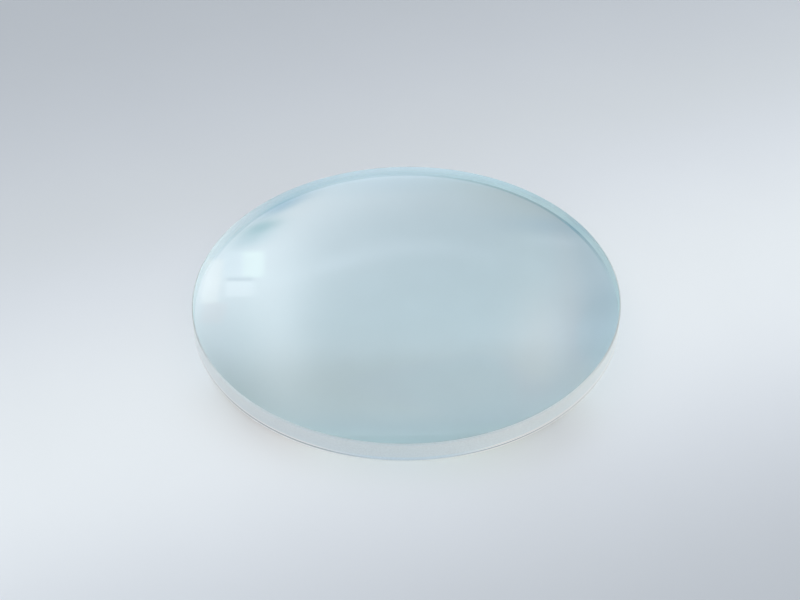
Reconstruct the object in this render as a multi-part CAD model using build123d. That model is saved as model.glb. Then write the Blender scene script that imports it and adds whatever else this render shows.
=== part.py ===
"""Plano-convex lens: one piece of optical crown glass.

A spherical face is ground and polished on one side and a flat face on the other. The cylindrical edge
between them is fine ground, and both sharp corners are broken by a narrow 45 degree protective bevel.

Frame: millimetres, +Z along the optical axis towards the convex face, origin at the centre of the flat face.
"""

from math import sqrt
import os

from build123d import *

# Driving dimensions
DIAMETER = 50.8  # over the ground edge
CONVEX_RADIUS = 128.8  # radius of curvature of the spherical face
EDGE_THICKNESS = 3.1  # to the sharp corner where sphere and edge would meet
PLANO_BEVEL = 0.55  # leg of the bevel round the flat face
CONVEX_BEVEL = 0.15  # leg of the bevel round the convex face

# Derived dimensions
EDGE_RADIUS = DIAMETER / 2


def sphere_height(distance):
    """Height of the spherical face above the flat face, at a distance from the optical axis."""
    sphere_centre = EDGE_THICKNESS - sqrt(CONVEX_RADIUS**2 - EDGE_RADIUS**2)
    return sphere_centre + sqrt(CONVEX_RADIUS**2 - distance**2)


def lens_section():
    """Half section of the lens in the XZ plane, from the optical axis out to the ground edge."""
    vertex = (0, sphere_height(0))
    arc_middle = (EDGE_RADIUS / 2, sphere_height(EDGE_RADIUS / 2))
    bevel_inner_radius = EDGE_RADIUS - CONVEX_BEVEL
    convex_bevel_top = (bevel_inner_radius, sphere_height(bevel_inner_radius))
    convex_bevel_foot = (EDGE_RADIUS, sphere_height(bevel_inner_radius) - CONVEX_BEVEL)
    plano_bevel_top = (EDGE_RADIUS, PLANO_BEVEL)
    plano_bevel_foot = (EDGE_RADIUS - PLANO_BEVEL, 0)

    with BuildSketch(Plane.XZ) as section:
        with BuildLine():
            ThreePointArc(vertex, arc_middle, convex_bevel_top)
            Polyline(
                convex_bevel_top,
                convex_bevel_foot,
                plano_bevel_top,
                plano_bevel_foot,
                (0, 0),
                vertex,
            )
        make_face()
    return section.sketch


def plano_convex_lens():
    """The whole lens, turned about its optical axis from the half section."""
    return revolve(lens_section(), axis=Axis.Z, revolution_arc=360)


os.makedirs("parts", exist_ok=True)
export_step(plano_convex_lens(), "parts/plano_convex_lens.step")
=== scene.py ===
"""A plano-convex lens of pale blue optical glass, lying on its flat face on a pale sheet."""

from math import cos, pi, radians, sin, sqrt

import bmesh
import bpy
from mathutils import Matrix, Vector


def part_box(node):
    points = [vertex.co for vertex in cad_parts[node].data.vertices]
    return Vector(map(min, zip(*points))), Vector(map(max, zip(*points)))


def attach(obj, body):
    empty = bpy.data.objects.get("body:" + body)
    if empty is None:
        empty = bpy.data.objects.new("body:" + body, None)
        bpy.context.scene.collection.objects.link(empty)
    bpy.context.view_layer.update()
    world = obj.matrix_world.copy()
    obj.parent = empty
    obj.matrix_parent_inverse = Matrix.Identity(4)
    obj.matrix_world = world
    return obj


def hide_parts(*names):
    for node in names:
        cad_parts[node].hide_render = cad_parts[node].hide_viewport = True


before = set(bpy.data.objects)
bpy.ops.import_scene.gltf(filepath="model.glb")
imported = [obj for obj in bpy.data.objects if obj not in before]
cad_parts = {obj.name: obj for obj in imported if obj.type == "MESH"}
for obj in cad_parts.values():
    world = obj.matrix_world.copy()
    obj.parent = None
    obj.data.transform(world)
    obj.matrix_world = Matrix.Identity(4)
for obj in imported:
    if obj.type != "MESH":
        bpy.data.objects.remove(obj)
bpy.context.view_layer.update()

MM = 0.001

# ---------------------------------------------------------------------------------------------------------------
# Sizes of the lens, in metres, from the frame and from how such a lens is ground
# ---------------------------------------------------------------------------------------------------------------
lens_low, lens_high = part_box("plano_convex_lens")
EDGE_RADIUS = (lens_high.x - lens_low.x) / 2
CENTRE_THICKNESS = lens_high.z
EDGE_THICKNESS = 3.1 * MM  # to the sharp corner where sphere and edge would meet
PLANO_BEVEL = 0.55 * MM  # leg of the bevel round the flat face
CONVEX_BEVEL = 0.15 * MM  # leg of the bevel round the convex face

SAG = CENTRE_THICKNESS - EDGE_THICKNESS
CONVEX_RADIUS = (EDGE_RADIUS**2 + SAG**2) / (2 * SAG)
SPHERE_CENTRE = CENTRE_THICKNESS - CONVEX_RADIUS
POLISHED_RADIUS = EDGE_RADIUS - CONVEX_BEVEL  # where the convex face ends and its bevel begins
POLISHED_RIM = SPHERE_CENTRE + sqrt(CONVEX_RADIUS**2 - POLISHED_RADIUS**2)

STEPS_ROUND_THE_SPHERE = 1440  # a quarter of a degree each along the curve
STEPS_ROUND_THE_AXIS = 288
HAIR = 0.001 * MM  # points closer than this count as one

# ---------------------------------------------------------------------------------------------------------------
# The glass, modelled as it is made: a half section turned about the optical axis
# ---------------------------------------------------------------------------------------------------------------


def select_in_edit_mode(piece, wanted):
    """Select only the vertices of the piece for which wanted(position) is true."""
    bpy.ops.mesh.select_mode(type="VERT")
    bpy.ops.mesh.select_all(action="DESELECT")
    shape = bmesh.from_edit_mesh(piece.data)
    for vertex in shape.verts:
        vertex.select = wanted(vertex.co)
    shape.select_flush(True)
    bmesh.update_edit_mesh(piece.data)


def trim(plane_co, plane_no):
    """Cut everything at a plane and keep the side that the plane's normal points to."""
    bpy.ops.mesh.select_all(action="SELECT")
    bpy.ops.mesh.bisect(plane_co=plane_co, plane_no=plane_no, clear_inner=True, threshold=1e-8)


def draw_convex_arc():
    """The stretch of the sphere's great circle that runs from the optical axis out to the bevel."""
    bpy.ops.object.select_all(action="DESELECT")
    bpy.ops.mesh.primitive_circle_add(
        vertices=STEPS_ROUND_THE_SPHERE,
        radius=CONVEX_RADIUS,
        location=(0, 0, SPHERE_CENTRE),
        rotation=(pi / 2, 0, 0),
    )
    section = bpy.context.object
    bpy.ops.object.transform_apply(location=True, rotation=True, scale=True)
    bpy.ops.object.mode_set(mode="EDIT")
    trim((0, 0, 0), (0, 0, 1))
    trim((0, 0, 0), (1, 0, 0))
    trim((POLISHED_RADIUS, 0, 0), (-1, 0, 0))
    return section


def draw_edge_and_flat_face(section):
    """Carry the section on from the arc's end: down the edge with its bevels, and in to the axis."""
    select_in_edit_mode(section, lambda place: place.x > POLISHED_RADIUS - HAIR)
    edge_height = POLISHED_RIM - CONVEX_BEVEL - PLANO_BEVEL
    for step in (
        (CONVEX_BEVEL, 0, -CONVEX_BEVEL),
        (0, 0, -edge_height),
        (-PLANO_BEVEL, 0, -PLANO_BEVEL),
        (-(EDGE_RADIUS - PLANO_BEVEL), 0, 0),
    ):
        bpy.ops.mesh.extrude_vertices_move(TRANSFORM_OT_translate={"value": step})


def turn_about_the_optical_axis(section):
    """Turn the half section into the solid lens, closed at both poles, with its corners kept sharp."""
    bpy.ops.mesh.select_all(action="SELECT")
    bpy.ops.mesh.spin(steps=STEPS_ROUND_THE_AXIS, angle=2 * pi, center=(0, 0, 0), axis=(0, 0, 1))
    bpy.ops.mesh.select_all(action="SELECT")
    bpy.ops.mesh.remove_doubles(threshold=HAIR)
    bpy.ops.mesh.normals_make_consistent(inside=False)
    bpy.ops.object.mode_set(mode="OBJECT")
    bpy.ops.object.shade_smooth_by_angle(angle=radians(20))
    section.name = "lens_glass"
    section.data.name = "lens_glass"
    return section


def is_ground(face):
    """True on the edge and its two bevels, which are left ground; the two optical faces are polished."""
    return (face.center.xy.length > POLISHED_RADIUS) or (
        face.center.xy.length > EDGE_RADIUS - PLANO_BEVEL and face.center.z < PLANO_BEVEL
    )


def make_lens():
    """The whole lens as one closed mesh, polished on its two faces and ground round its edge."""
    section = draw_convex_arc()
    draw_edge_and_flat_face(section)
    lens = turn_about_the_optical_axis(section)
    lens.data.materials.append(polished_glass())
    lens.data.materials.append(ground_glass())
    for face in lens.data.polygons:
        face.material_index = 1 if is_ground(face) else 0
    return lens


# ---------------------------------------------------------------------------------------------------------------
# Finishes
# ---------------------------------------------------------------------------------------------------------------
CROWN_GLASS_IOR = 1.517
CLOUDS_PER_METRE, CLOUD_DEPTH = 220, 0.01  # in the polished glass
GRAINS_PER_METRE, GRAIN_DEPTH = 5200, 0.04  # on the ground edge
MOTTLES_PER_METRE, MOTTLE_DEPTH = 60, 0.006  # on the sheet
MOST_TURNS = 2  # a ray that has bounced or bent more often than this counts as trapped in the glass


def new_material(name):
    """A material with only an output and a Principled shader, and the node tree to add to."""
    material = bpy.data.materials.new(name)
    material.use_nodes = True
    tree = material.node_tree
    tree.nodes.clear()
    output = tree.nodes.new("ShaderNodeOutputMaterial")
    shader = tree.nodes.new("ShaderNodeBsdfPrincipled")
    tree.links.new(shader.outputs["BSDF"], output.inputs["Surface"])
    return material, tree, shader


def srgb(red, green, blue):
    """A colour given in display values from 0 to 255, as the linear values that shaders take."""
    return (
        *(
            (value / 255 / 12.92) if value <= 10 else ((value / 255 + 0.055) / 1.055) ** 2.4
            for value in (red, green, blue)
        ),
        1,
    )


def colour_ramp(tree, value, stops, interpolation="LINEAR"):
    """Colours from stops of (position, linear colour), looked up by a value from 0 to 1."""
    ramp = tree.nodes.new("ShaderNodeValToRGB")
    ramp.color_ramp.interpolation = interpolation
    elements = ramp.color_ramp.elements
    while len(elements) > 1:
        elements.remove(elements[-1])
    elements[0].position, elements[0].color = stops[0]
    for position, colour in stops[1:]:
        elements.new(position).color = colour
    tree.links.new(value, ramp.inputs["Fac"])
    return ramp.outputs["Color"]


def tone_ramp(tree, value, stops):
    """Colours with parts from 0 to 2, from stops of (position, red, green, blue), looked up by a value."""
    halves = [(position, (red / 2, green / 2, blue / 2, 1)) for position, red, green, blue in stops]
    return tinted_by(tree, colour_ramp(tree, value, halves), (2, 2, 2))


def tinted_by(tree, colour, tint):
    """A colour multiplied by another, which is a socket or three plain numbers."""
    node = tree.nodes.new("ShaderNodeVectorMath")
    node.operation = "MULTIPLY"
    tree.links.new(colour, node.inputs[0])
    if isinstance(tint, tuple):
        node.inputs[1].default_value = tint
    else:
        tree.links.new(tint, node.inputs[1])
    return node.outputs["Vector"]


def remap(tree, value, from_min, from_max, to_min=0.0, to_max=1.0, interpolation="LINEAR"):
    """A value carried from one range to another, and held at the ends."""
    node = tree.nodes.new("ShaderNodeMapRange")
    node.interpolation_type = interpolation
    tree.links.new(value, node.inputs["Value"])
    node.inputs["From Min"].default_value = from_min
    node.inputs["From Max"].default_value = from_max
    node.inputs["To Min"].default_value = to_min
    node.inputs["To Max"].default_value = to_max
    return node.outputs["Result"]


def math_node(tree, operation, first, second=None):
    """A Math node; each operand is a socket or a plain number."""
    node = tree.nodes.new("ShaderNodeMath")
    node.operation = operation
    for socket, operand in zip(node.inputs, (first, second)):
        if operand is None:
            continue
        if isinstance(operand, (int, float)):
            socket.default_value = operand
        else:
            tree.links.new(operand, socket)
    return node.outputs["Value"]


def pass_light_on(tree, shader, clear_colour):
    """Let bounced light, and rays trapped in the glass, go straight through, tinted by a colour."""
    path = tree.nodes.new("ShaderNodeLightPath")
    through = math_node(tree, "MAXIMUM", path.outputs["Is Shadow Ray"], path.outputs["Is Diffuse Ray"])
    trapped = math_node(tree, "GREATER_THAN", path.outputs["Ray Depth"], MOST_TURNS + 0.5)
    through = math_node(tree, "MAXIMUM", through, trapped)
    clear = tree.nodes.new("ShaderNodeBsdfTransparent")
    if isinstance(clear_colour, tuple):
        clear.inputs["Color"].default_value = clear_colour
    else:
        tree.links.new(clear_colour, clear.inputs["Color"])
    mix = tree.nodes.new("ShaderNodeMixShader")
    tree.links.new(through, mix.inputs[0])
    tree.links.new(shader.outputs["BSDF"], mix.inputs[1])
    tree.links.new(clear.outputs["BSDF"], mix.inputs[2])
    output = next(node for node in tree.nodes if node.type == "OUTPUT_MATERIAL")
    tree.links.new(mix.outputs["Shader"], output.inputs["Surface"])


def distance_from(tree, place, x, y):
    """How far a point of the piece is, seen from above, from the point at x and y, in metres."""
    flatten = tree.nodes.new("ShaderNodeVectorMath")
    flatten.operation = "MULTIPLY_ADD"
    flatten.inputs[1].default_value = (1, 1, 0)
    flatten.inputs[2].default_value = (-x, -y, 0)
    tree.links.new(place, flatten.inputs[0])
    length = tree.nodes.new("ShaderNodeVectorMath")
    length.operation = "LENGTH"
    tree.links.new(flatten.outputs["Vector"], length.inputs[0])
    return length.outputs["Value"]


def shade_by(tree, colour, amount):
    """A colour made lighter or darker by an amount near 1."""
    node = tree.nodes.new("ShaderNodeVectorMath")
    node.operation = "SCALE"
    tree.links.new(colour, node.inputs[0])
    tree.links.new(amount, node.inputs["Scale"])
    return node.outputs["Vector"]


def noise(tree, place, scale, detail=2.0):
    """Cloudy noise from 0 to 1; scale is in clouds per metre."""
    node = tree.nodes.new("ShaderNodeTexNoise")
    node.inputs["Scale"].default_value = scale
    node.inputs["Detail"].default_value = detail
    tree.links.new(place, node.inputs["Vector"])
    return node.outputs["Fac"]


def uneven(tree, place, scale, depth, detail=2.0):
    """An amount near 1 that wanders by as much as depth either way."""
    return remap(tree, noise(tree, place, scale, detail), 0.3, 0.7, 1 - depth, 1 + depth)


DUST_CELL = 3.4 * MM
DUST_SIZE = (0.02, 0.035)  # radius of a speck, clear to full, as a share of a cell
DUSTY_SHARE = 0.35  # of the cells
DUST_DIMMING = 0.12


def dust(tree, place):
    """1 on clean glass and a little less on a few tiny specks, at most one to a cell."""
    cells = tree.nodes.new("ShaderNodeTexVoronoi")
    cells.inputs["Scale"].default_value = 1 / DUST_CELL
    tree.links.new(place, cells.inputs["Vector"])
    lot = tree.nodes.new("ShaderNodeSeparateXYZ")
    tree.links.new(cells.outputs["Color"], lot.inputs["Vector"])
    has_speck = math_node(tree, "LESS_THAN", lot.outputs["X"], DUSTY_SHARE)
    speck = remap(tree, cells.outputs["Distance"], DUST_SIZE[0], DUST_SIZE[1], DUST_DIMMING, 0.0)
    return math_node(tree, "SUBTRACT", 1.0, math_node(tree, "MULTIPLY", has_speck, speck))


def polished_glass():
    """Clear glass with a pale blue body colour, painted shade that deepens it towards the rim and near the left
    and right rims, painted light at the very front rim, a line of painted shade round the back of the flat face,
    and a few specks of dust.
    """
    material, tree, shader = new_material("polished_glass")
    place = tree.nodes.new("ShaderNodeTexCoord").outputs["Object"]
    outwards = math_node(tree, "DIVIDE", distance_from(tree, place, *PALEST_PLACE), EDGE_RADIUS)
    tint = colour_ramp(tree, outwards, GLASS_TINT_AND_PAINTED_RIM_SHADE, "B_SPLINE")
    split = tree.nodes.new("ShaderNodeSeparateXYZ")
    tree.links.new(place, split.inputs["Vector"])
    # Painted shade and light across the width and the depth of the lens
    for side, tone in (("X", PAINTED_SHADE_LEFT_TO_RIGHT), ("Y", PAINTED_LIGHT_AND_SHADE_FRONT_TO_BACK)):
        along_it = remap(tree, split.outputs[side], -EDGE_RADIUS, EDGE_RADIUS)
        tint = tinted_by(tree, tint, tone_ramp(tree, along_it, tone))
    tint = tinted_by(tree, tint, painted_shade_line_on_flat_face(tree, place, split))
    cloudy = uneven(tree, place, CLOUDS_PER_METRE, CLOUD_DEPTH)
    clean = math_node(tree, "MULTIPLY", dust(tree, place), cloudy)
    tree.links.new(shade_by(tree, tint, clean), shader.inputs["Base Color"])
    shader.inputs["Transmission Weight"].default_value = 1.0
    shader.inputs["Roughness"].default_value = 0.0
    shader.inputs["IOR"].default_value = CROWN_GLASS_IOR
    pass_light_on(tree, shader, POLISHED_CLEARNESS)
    return material


def painted_shade_line_on_flat_face(tree, place, split):
    """White, but for a thin line of painted shade round the back of the flat face, where its bevel begins."""
    edge = EDGE_RADIUS - PLANO_BEVEL
    line_begins = edge - SHADE_LINE_WIDTH
    line_full = line_begins + SHADE_LINE_WIDTH * SHADE_LINE_BLUR
    line = remap(tree, distance_from(tree, place, 0, 0), line_begins, line_full)
    line = math_node(tree, "MULTIPLY", line, math_node(tree, "LESS_THAN", split.outputs["Z"], SHADE_LINE_HEIGHT))
    back = remap(tree, split.outputs["Y"], *SHADE_LINE_FADES_IN)
    line = math_node(tree, "MULTIPLY", line, back)
    return colour_ramp(tree, line, ((0.0, (1, 1, 1, 1)), (1.0, SHADE_LINE_TINT)))


# A thin line of painted shade round the back of the flat face, where its bevel begins
SHADE_LINE_WIDTH = 0.52 * MM
SHADE_LINE_BLUR = 0.3  # of its width
SHADE_LINE_HEIGHT = 0.05 * MM  # it lies below this, so on the flat face only
SHADE_LINE_FADES_IN = (0.1 * EDGE_RADIUS, 0.5 * EDGE_RADIUS)  # towards the back
SHADE_LINE_TINT = (0.42, 0.66, 0.72, 1)
PALEST_PLACE = (-0.55 * MM, 0.55 * MM)  # the glass deepens outwards from here, its body colour darkened by painted shade towards the rim
# Body colour by distance from that place, as a share of the lens's radius, with painted shade darkening it from
# about half the radius out towards the rim, and a little lighter again at the rim itself
GLASS_TINT_AND_PAINTED_RIM_SHADE = (
    (0.00, (0.72, 0.808, 0.831, 1)),
    (0.50, (0.72, 0.808, 0.831, 1)),
    (0.70, (0.72, 0.802, 0.820, 1)),
    (0.85, (0.695, 0.793, 0.816, 1)),
    (0.94, (0.645, 0.758, 0.790, 1)),
    (0.97, (0.645, 0.768, 0.797, 1)),
    (1.00, (0.66, 0.805, 0.82, 1)),
)
# Painted light and shade over the width and the depth of the lens, from one rim to the other: painted shade near
# the left and right rims, painted light at the very front rim and painted shade just behind it
PAINTED_SHADE_LEFT_TO_RIGHT = (
    (0.00, 0.965, 0.94, 0.94),
    (0.05, 0.965, 0.94, 0.94),
    (0.10, 0.985, 0.975, 0.98),
    (0.14, 1.0, 1.0, 1.0),
    (0.80, 1.0, 1.0, 1.0),
    (0.84, 0.985, 0.98, 0.99),
    (0.88, 0.97, 0.94, 0.95),
    (0.93, 0.90, 0.895, 0.92),
    (1.00, 0.90, 0.89, 0.92),
)
PAINTED_LIGHT_AND_SHADE_FRONT_TO_BACK = (
    (0.00, 1.05, 1.11, 1.09),
    (0.02, 1.03, 1.06, 1.04),
    (0.032, 0.97, 0.97, 0.95),
    (0.045, 0.935, 0.935, 0.92),
    (0.06, 0.955, 0.945, 0.93),
    (0.10, 0.98, 0.955, 0.935),
    (0.20, 0.99, 0.96, 0.945),
    (0.36, 1.0, 1.0, 1.0),
)
# How much light passes straight through a polished face on its way to the sheet
POLISHED_CLEARNESS = (0.849, 0.897, 0.912, 1)


# Painted shade on the upper bevel, but for its front part, and towards the back of the wall
TOP_BEVEL_BEGINS = (0.95, 0.965)  # up the edge, as a share of its thickness
TOP_BEVEL_PAINTED_SHADE = 0.66
FRONT_PART_ENDS = (-0.6 * EDGE_RADIUS, -0.35 * EDGE_RADIUS)
BACK_OF_WALL_PAINTED_SHADE = 0.82


def blend(tree, share, first, second):
    """The first colour where share is 0, and the second where it is 1."""
    node = tree.nodes.new("ShaderNodeMix")
    node.data_type = "RGBA"
    tree.links.new(share, node.inputs["Factor"])
    tree.links.new(first, node.inputs["A"])
    tree.links.new(second, node.inputs["B"])
    return node.outputs["Result"]


def painted_shade_round_the_edge(tree, up_the_edge, y):
    """Painted shade: less than 1 on the upper bevel, but for its front part, and towards the back of the wall.
    """
    on_bevel = remap(tree, up_the_edge, *TOP_BEVEL_BEGINS)
    not_front = remap(tree, y, *FRONT_PART_ENDS)
    dark_part = math_node(tree, "MULTIPLY", on_bevel, not_front)
    painted_bevel_shade = remap(tree, dark_part, 0.0, 1.0, 1.0, TOP_BEVEL_PAINTED_SHADE)
    below = math_node(tree, "SUBTRACT", 1.0, on_bevel)
    back_of_wall = math_node(tree, "MULTIPLY", below, remap(tree, y, 0.0, EDGE_RADIUS))
    painted_wall_shade = remap(tree, back_of_wall, 0.0, 1.0, 1.0, BACK_OF_WALL_PAINTED_SHADE)
    return math_node(tree, "MULTIPLY", painted_bevel_shade, painted_wall_shade)


def ground_glass():
    """Fine-ground glass: a pale frosted edge with grain, with painted highlight and painted shadow lines along
    its foot, painted shade on its upper bevel, and painted light and shade from left to right and on its inside.
    """
    material, tree, shader = new_material("ground_glass")
    place = tree.nodes.new("ShaderNodeTexCoord").outputs["Object"]
    split = tree.nodes.new("ShaderNodeSeparateXYZ")
    tree.links.new(place, split.inputs["Vector"])
    across = remap(tree, split.outputs["X"], -EDGE_RADIUS, EDGE_RADIUS)
    up_the_edge = math_node(tree, "DIVIDE", split.outputs["Z"], EDGE_THICKNESS)
    outside = colour_ramp(tree, up_the_edge, LEFT_EDGE_AND_PAINTED_LINES)
    for stops, begin, full in ((MIDDLE_EDGE_AND_PAINTED_LINES, *MIDDLE_BEGINS), (RIGHT_EDGE_AND_PAINTED_LINES, *RIGHT_BEGINS)):
        share = remap(tree, across, begin, full)
        outside = blend(tree, share, outside, colour_ramp(tree, up_the_edge, stops))
    # Painted shade on the upper bevel and towards the back of the wall
    outside = shade_by(tree, outside, painted_shade_round_the_edge(tree, up_the_edge, split.outputs["Y"]))
    inside = colour_ramp(tree, up_the_edge, INNER_EDGE_PAINTED_COLOUR)
    # Painted light and shade from the left end of the edge to its right end, outside and inside
    outside = tinted_by(tree, outside, tone_ramp(tree, across, OUTER_PAINTED_LIGHT_AND_SHADE))
    inside = tinted_by(tree, inside, tone_ramp(tree, across, INNER_PAINTED_LIGHT_AND_SHADE))
    # Seen from inside, the edge shows its own painted colour
    colour = blend(tree, tree.nodes.new("ShaderNodeNewGeometry").outputs["Backfacing"], outside, inside)
    grain = uneven(tree, place, GRAINS_PER_METRE, GRAIN_DEPTH, detail=4.0)
    tree.links.new(shade_by(tree, colour, grain), shader.inputs["Base Color"])
    shader.inputs["Transmission Weight"].default_value = 0.07
    shader.inputs["Roughness"].default_value = 0.45
    shader.inputs["IOR"].default_value = CROWN_GLASS_IOR
    pass_light_on(tree, shader, colour_ramp(tree, across, EDGE_CLEARNESS))
    return material


# Where the middle and right parts of the edge take over, as shares of the width of the lens
MIDDLE_BEGINS = (0.30, 0.42)
RIGHT_BEGINS = (0.58, 0.70)
# Colours up the edge, from the flat face to the convex one: the frosted glass's own colour, with painted
# highlights (the white lines) and a painted shadow (the dark line) along its foot, which differ from left to
# right
LEFT_EDGE_AND_PAINTED_LINES = (
    (0.00, (0.97, 0.97, 0.97, 1)),
    (0.23, (1.00, 1.00, 1.00, 1)),
    (0.24, (0.48, 0.52, 0.54, 1)),
    (0.295, (0.48, 0.52, 0.54, 1)),
    (0.305, (1.00, 1.00, 1.00, 1)),
    (0.355, (1.00, 1.00, 1.00, 1)),
    (0.37, (0.78, 0.84, 0.87, 1)),
    (0.93, (0.80, 0.85, 0.86, 1)),
    (0.96, (0.77, 0.86, 0.90, 1)),
    (1.00, (0.77, 0.86, 0.90, 1)),
)
MIDDLE_EDGE_AND_PAINTED_LINES = (
    (0.00, (0.96, 0.98, 0.98, 1)),
    (0.22, (0.96, 0.98, 0.98, 1)),
    (0.235, (0.70, 0.78, 0.83, 1)),
    (0.28, (0.70, 0.78, 0.83, 1)),
    (0.29, (0.73, 0.84, 0.92, 1)),
    (0.37, (0.74, 0.84, 0.90, 1)),
    (0.39, (0.78, 0.84, 0.87, 1)),
    (0.93, (0.80, 0.85, 0.86, 1)),
    (0.96, (0.80, 0.89, 0.93, 1)),
    (1.00, (0.80, 0.89, 0.93, 1)),
)
RIGHT_EDGE_AND_PAINTED_LINES = (
    (0.00, (0.97, 0.97, 0.97, 1)),
    (0.225, (0.97, 0.97, 0.97, 1)),
    (0.235, (0.47, 0.50, 0.53, 1)),
    (0.275, (0.47, 0.50, 0.53, 1)),
    (0.285, (0.98, 1.00, 1.00, 1)),
    (0.36, (0.98, 1.00, 1.00, 1)),
    (0.375, (0.78, 0.84, 0.87, 1)),
    (0.93, (0.80, 0.85, 0.86, 1)),
    (0.96, (0.76, 0.84, 0.88, 1)),
    (1.00, (0.76, 0.84, 0.88, 1)),
)
# The same edge where it is seen from inside, through the convex face: a colour of its own, painted for how it
# looks lit through the glass, with painted shade on its two bevels
INNER_EDGE_PAINTED_COLOUR = (
    (0.00, (0.50, 0.74, 0.82, 1)),
    (0.17, (0.50, 0.74, 0.82, 1)),
    (0.19, (0.56, 0.78, 0.86, 1)),
    (0.84, (0.56, 0.78, 0.86, 1)),
    (0.88, (0.46, 0.65, 0.75, 1)),
    (1.00, (0.46, 0.65, 0.75, 1)),
)
# Painted light and shade along the edge from its left end to its right end, outside and inside
OUTER_PAINTED_LIGHT_AND_SHADE = (
    (0.00, 0.89, 0.89, 0.89),
    (0.28, 0.915, 0.94, 0.965),
    (0.50, 0.94, 0.98, 1.00),
    (0.72, 1.10, 1.10, 1.09),
    (1.00, 1.14, 1.135, 1.10),
)
INNER_PAINTED_LIGHT_AND_SHADE = (
    (0.00, 0.92, 0.84, 0.82),
    (0.06, 0.92, 0.86, 0.85),
    (0.09, 0.72, 0.72, 0.74),
    (0.22, 0.65, 0.76, 0.79),
    (0.50, 0.68, 0.78, 0.80),
    (0.77, 1.45, 1.34, 1.33),
    (0.88, 1.40, 1.24, 1.19),
    (1.00, 1.12, 0.94, 0.89),
)
# How much light passes straight through the edge, from its left end to its right end
EDGE_CLEARNESS = (
    (0.00, (1.00, 1.00, 1.00, 1)),
    (0.045, (1.00, 1.00, 1.00, 1)),
    (0.08, (0.77, 0.73, 0.68, 1)),
    (0.15, (0.75, 0.67, 0.63, 1)),
    (0.23, (0.90, 0.82, 0.76, 1)),
    (0.32, (1.00, 0.98, 0.92, 1)),
    (0.50, (1.00, 1.00, 0.96, 1)),
    (0.63, (1.00, 0.99, 0.90, 1)),
    (0.73, (0.92, 0.88, 0.79, 1)),
    (0.82, (0.76, 0.71, 0.66, 1)),
    (0.87, (0.88, 0.85, 0.78, 1)),
    (0.91, (1.00, 1.00, 0.96, 1)),
    (1.00, (1.00, 1.00, 1.00, 1)),
)

# ---------------------------------------------------------------------------------------------------------------
# Sheet, light and camera
# ---------------------------------------------------------------------------------------------------------------
SHEET_RADIUS = 4.0
SHEET_DROP = 0.01 * MM  # keeps the sheet clear of the flat face

# The sheet has painted light: it is lightest in a broad slanting band, and greyer in front of it and behind it,
# where less light is painted.
SHEET_PAINTED_LIGHT_BAND_TURN = radians(-20)
SHEET_PAINTED_LIGHT_BAND = (
    (-54, (185, 192, 200)),
    (-42, (199, 206, 214)),
    (-30, (214, 221, 229)),
    (-18, (229, 236, 242)),
    (-6, (229, 236, 241)),
    (6, (224, 231, 237)),
    (18, (214, 221, 229)),
    (30, (206, 213, 219)),
    (45, (198, 205, 213)),
    (60, (190, 197, 205)),
    (75, (184, 191, 199)),
    (90, (181, 188, 196)),
)


def sheet_paper():
    """Smooth matt paper with a slanting band of painted light and a faint mottle."""
    material, tree, shader = new_material("sheet_paper")
    place = tree.nodes.new("ShaderNodeTexCoord").outputs["Object"]
    turn = tree.nodes.new("ShaderNodeMapping")
    turn.inputs["Rotation"].default_value = (0, 0, SHEET_PAINTED_LIGHT_BAND_TURN)
    tree.links.new(place, turn.inputs["Vector"])
    split = tree.nodes.new("ShaderNodeSeparateXYZ")
    tree.links.new(turn.outputs["Vector"], split.inputs["Vector"])
    front, back = SHEET_PAINTED_LIGHT_BAND[0][0] * MM, SHEET_PAINTED_LIGHT_BAND[-1][0] * MM
    across = remap(tree, split.outputs["Y"], front, back)
    stops = [((step * MM - front) / (back - front), srgb(*colour)) for step, colour in SHEET_PAINTED_LIGHT_BAND]
    mottle = uneven(tree, place, MOTTLES_PER_METRE, MOTTLE_DEPTH)
    colour = shade_by(tree, colour_ramp(tree, across, stops, "B_SPLINE"), mottle)
    tree.links.new(colour, shader.inputs["Base Color"])
    shader.inputs["Roughness"].default_value = 0.9
    shader.inputs["Specular IOR Level"].default_value = 0.0
    return material


def lay_sheet():
    """A plain sheet that reaches far past the view on every side, just under the lens."""
    bpy.ops.object.select_all(action="DESELECT")
    bpy.ops.mesh.primitive_circle_add(vertices=128, radius=SHEET_RADIUS, fill_type="NGON", location=(0, 0, 0))
    sheet = bpy.context.object
    sheet.name = "pale_sheet"
    sheet.data.materials.append(sheet_paper())
    sheet.location.z = -SHEET_DROP
    return sheet


def direction(azimuth, elevation):
    """A unit vector from the lens. Azimuth 0 points behind the lens, and positive turns to the right."""
    side, lift = radians(azimuth), radians(elevation)
    return Vector((sin(side) * cos(lift), cos(side) * cos(lift), sin(lift)))


def along(tree, way, vector):
    """How much of the looked-at direction lies along a vector."""
    node = tree.nodes.new("ShaderNodeVectorMath")
    node.operation = "DOT_PRODUCT"
    node.inputs[1].default_value = vector
    tree.links.new(way, node.inputs[0])
    return node.outputs["Value"]


def add_light(tree, sum_so_far, mask, colour):
    """The light so far, plus a patch's colour where its mask is 1; a colour below 0 darkens."""
    node = tree.nodes.new("ShaderNodeVectorMath")
    node.operation = "MULTIPLY_ADD"
    tree.links.new(mask, node.inputs[0])
    node.inputs[1].default_value = colour
    if isinstance(sum_so_far, tuple):
        node.inputs[2].default_value = sum_so_far
    else:
        tree.links.new(sum_so_far, node.inputs[2])
    return node.outputs["Vector"]


def patch_axes(azimuth, elevation, side_lean, top_lean):
    """The directions ahead, across and up of a patch of the room, its sides and its top leaning on their own."""
    ahead = direction(azimuth, elevation)
    right = Vector((cos(radians(azimuth)), -sin(radians(azimuth)), 0))
    up = right.cross(ahead)
    across = right * cos(radians(side_lean)) + up * sin(radians(side_lean))
    upward = up * cos(radians(top_lean)) - right * sin(radians(top_lean))
    return ahead, across, upward


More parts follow.
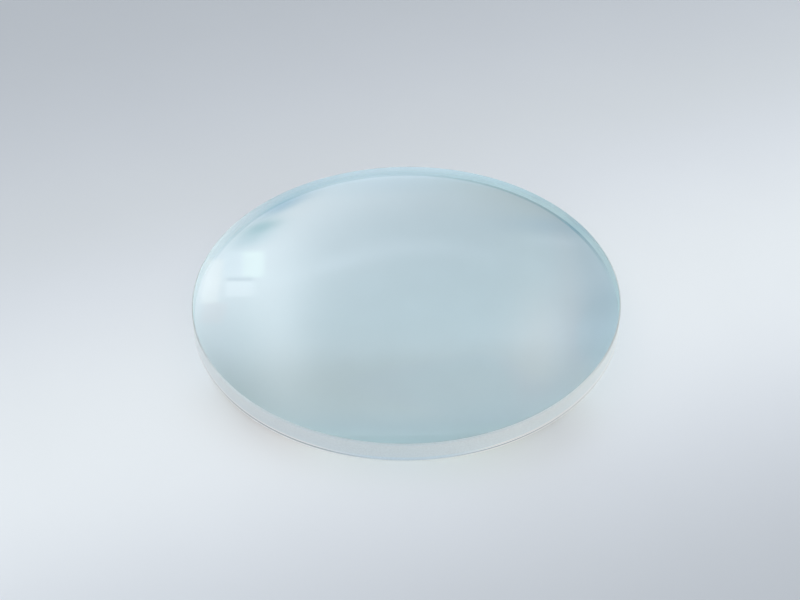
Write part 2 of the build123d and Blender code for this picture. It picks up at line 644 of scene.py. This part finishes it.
def this_side_only(tree, way, ahead):
    """0 in the half of the room that faces away from a patch, and 1 soon after on its own side."""
    return remap(tree, along(tree, way, ahead), 0.0, 0.2)


def soft_glow(tree, way, azimuth, elevation, width, height, lean=0):
    """A round or oval light that fades away from its middle; width and height are half angles in degrees."""
    ahead, across, upward = patch_axes(azimuth, elevation, lean, lean)
    square = None
    for vector, half in ((across, width), (upward, height)):
        share = math_node(tree, "DIVIDE", along(tree, way, vector), sin(radians(half)))
        power = math_node(tree, "MULTIPLY", share, share)
        square = power if square is None else math_node(tree, "ADD", square, power)
    fade = math_node(tree, "EXPONENT", math_node(tree, "MULTIPLY", square, -1.0))
    return math_node(tree, "MULTIPLY", fade, this_side_only(tree, way, ahead))


def window_pane(tree, way, azimuth, elevation, width, height, blur, side_lean=0, top_lean=0):
    """A four-sided light with softened edges; width, height, blur and leans are in degrees."""
    ahead, across, upward = patch_axes(azimuth, elevation, side_lean, top_lean)
    mask = this_side_only(tree, way, ahead)
    for vector, whole in ((across, width), (upward, height)):
        reach = math_node(tree, "ABSOLUTE", along(tree, way, vector))
        inner, outer = sin(radians((whole - blur) / 2)), sin(radians((whole + blur) / 2))
        edge = remap(tree, reach, inner, outer, 1.0, 0.0, "SMOOTHSTEP")
        mask = math_node(tree, "MULTIPLY", mask, edge)
    return mask


def light_the_room():
    """A soft room all round: an even light, and the glows and panes that the lens mirrors and is lit by."""
    world = bpy.data.worlds.new("studio")
    bpy.context.scene.world = world
    world.use_nodes = True
    tree = world.node_tree
    way = tree.nodes.new("ShaderNodeTexCoord").outputs["Generated"]
    light = ROOM_LIGHT
    for glow in SOFT_GLOWS:
        light = add_light(tree, light, soft_glow(tree, way, *glow[:-1]), glow[-1])
    for pane in WINDOW_PANES:
        light = add_light(tree, light, window_pane(tree, way, *pane[:-1]), pane[-1])
    darkest = tree.nodes.new("ShaderNodeVectorMath")
    darkest.operation = "MAXIMUM"
    darkest.inputs[1].default_value = (0, 0, 0)
    tree.links.new(light, darkest.inputs[0])
    tree.links.new(darkest.outputs["Vector"], tree.nodes["Background"].inputs["Color"])


# Light from everywhere
ROOM_LIGHT = (0.688, 0.68, 0.674)
# Azimuth, elevation, half width, half height and lean in degrees, and the colour at the middle
SOFT_GLOWS = (
    (-58, 33, 12, 15, 0, (3.1, 3.15, 3.3)),  # left lamp, which shades the sheet at the near right
    (49, 33, 12, 15, 0, (4.5, 4.6, 4.85)),  # right lamp, which shades the sheet at the near left
    (180, 35, 50, 35, 0, (-0.33, -0.33, -0.34)),  # dark wall behind the viewer
    (180, 82, 30, 18, 0, (-0.47, -0.48, -0.5)),  # dark ceiling overhead
    (-160, 12, 50, 10, 0, (1.1, 1.1, 1.1)),  # low light in front, on the edge
    (-30.5, 28, 14.6, 14.5, -5, (5.6, 5.95, 6.05)),  # broad light at the left
    (-1, 12, 25, 8.8, -38, (2.05, 2.25, 2.5)),  # haze over the back left
    (-19.6, 45.2, 3.7, 15.4, 15.6, (2.05, 2.1, 2.15)),  # tall strip at the left
    (-14.5, 24.3, 1.9, 1.3, -10, (-2.8, -2.0, -2.0)),  # small dark spot
    (-16.4, 26.3, 2.3, 1.9, -20, (-2.1, -1.55, -1.4)),  # its softer end
    (-20.4, 29.6, 2.2, 3.0, 0, (-1.1, -1.0, -1.0)),  # dimmer glass round the panes
    (22.3, 47.8, 3.9, 9.3, -8, (2.2, 1.5, 1.2)),  # warm patch at the right
    (-7.4, 35.9, 6.2, 1.9, -14, (0.7, 0.72, 0.8)),  # arc, its left part
    (2.9, 33.8, 7.5, 1.8, 6, (0.3, 0.28, 0.33)),  # arc, its middle
    (16.5, 27.8, 3.2, 1.2, -31, (0.35, 0.35, 0.4)),  # arc, its right part
    (15.5, 24.2, 6, 2.0, -31, (-0.6, -0.5, -0.3)),  # dark above the arc
    (27.4, 41.5, 5.2, 13.5, 18, (-2.1, -2.0, -1.9)),  # dark at the right
    (-6.5, 35.5, 13.5, 45, 15, (0.64, 0.68, 0.73)),  # mild light over the middle
    (-11.8, 20.6, 3.2, 1.1, -38, (-2.4, -1.7, -1.2)),  # thin dark line at the back left
    (-2, 17.8, 10, 3.2, -4, (-0.85, -0.7, -0.55)),  # dark line at the back
    (4, 58.5, 45, 6.8, 0, (-0.95, -1.15, -1.4)),  # dark ceiling in front
)
# Azimuth, elevation, width, height, blur, and lean of the sides and the top in degrees, and the colour
WINDOW_PANES = (
    (-17.6, 31.8, 2.1, 5.0, 0.8, 15.6, 39.3, (0.95, 1.3, 0.9)),  # upper pane, its bright half
    (-19.5, 30.4, 1.9, 5.0, 0.7, 17.1, 43.8, (0.35, 0.45, 0.5)),  # upper pane, its dim half
    (-20.8, 35.8, 2.9, 2.7, 0.7, 18.8, 41.8, (1.0, 1.0, 1.0)),  # lower pane
    (-22.8, 32.0, 1.8, 8.0, 0.8, 24.9, 47.4, (1.2, 1.0, 0.75)),  # tall pane
    (-25.5, 37.9, 2.6, 3.4, 0.9, 31.8, 51.3, (0.1, -0.3, -0.35)),  # dim warm corner below it
    (-20.0, 33.9, 2.6, 0.6, 0.4, 17.9, 41.9, (-1.3, -1.2, -1.1)),  # dark bar between the panes
)

CAMERA_DISTANCE = 200 * MM
CAMERA_ELEVATION = radians(40.567)
CAMERA_ROLL = radians(-0.754)
CAMERA_AIM = Vector((-0.736 * MM, 0.446 * MM, 1.5 * MM))
FOCAL_LENGTH = 75.33  # on Blender's usual 36 mm sensor


def place_camera():
    """The camera looks down at the lens from in front and aims near its middle, with a slight roll."""
    data = bpy.data.cameras.new("camera")
    data.lens = FOCAL_LENGTH
    data.clip_start = 1 * MM
    camera = bpy.data.objects.new("camera", data)
    bpy.context.scene.collection.objects.link(camera)
    stand = Vector((0, -cos(CAMERA_ELEVATION), sin(CAMERA_ELEVATION))) * CAMERA_DISTANCE
    camera.location = stand + Vector((0, 0, CAMERA_AIM.z))
    towards = CAMERA_AIM - camera.location
    level = towards.to_track_quat("-Z", "Y")
    camera.rotation_mode = "QUATERNION"
    camera.rotation_quaternion = level @ Matrix.Rotation(CAMERA_ROLL, 3, "Z").to_quaternion()
    bpy.context.scene.camera = camera


lens = make_lens()
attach(lens, "root")
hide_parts("plano_convex_lens")
lay_sheet()
light_the_room()
place_camera()
bpy.context.scene.view_settings.view_transform = "Standard"
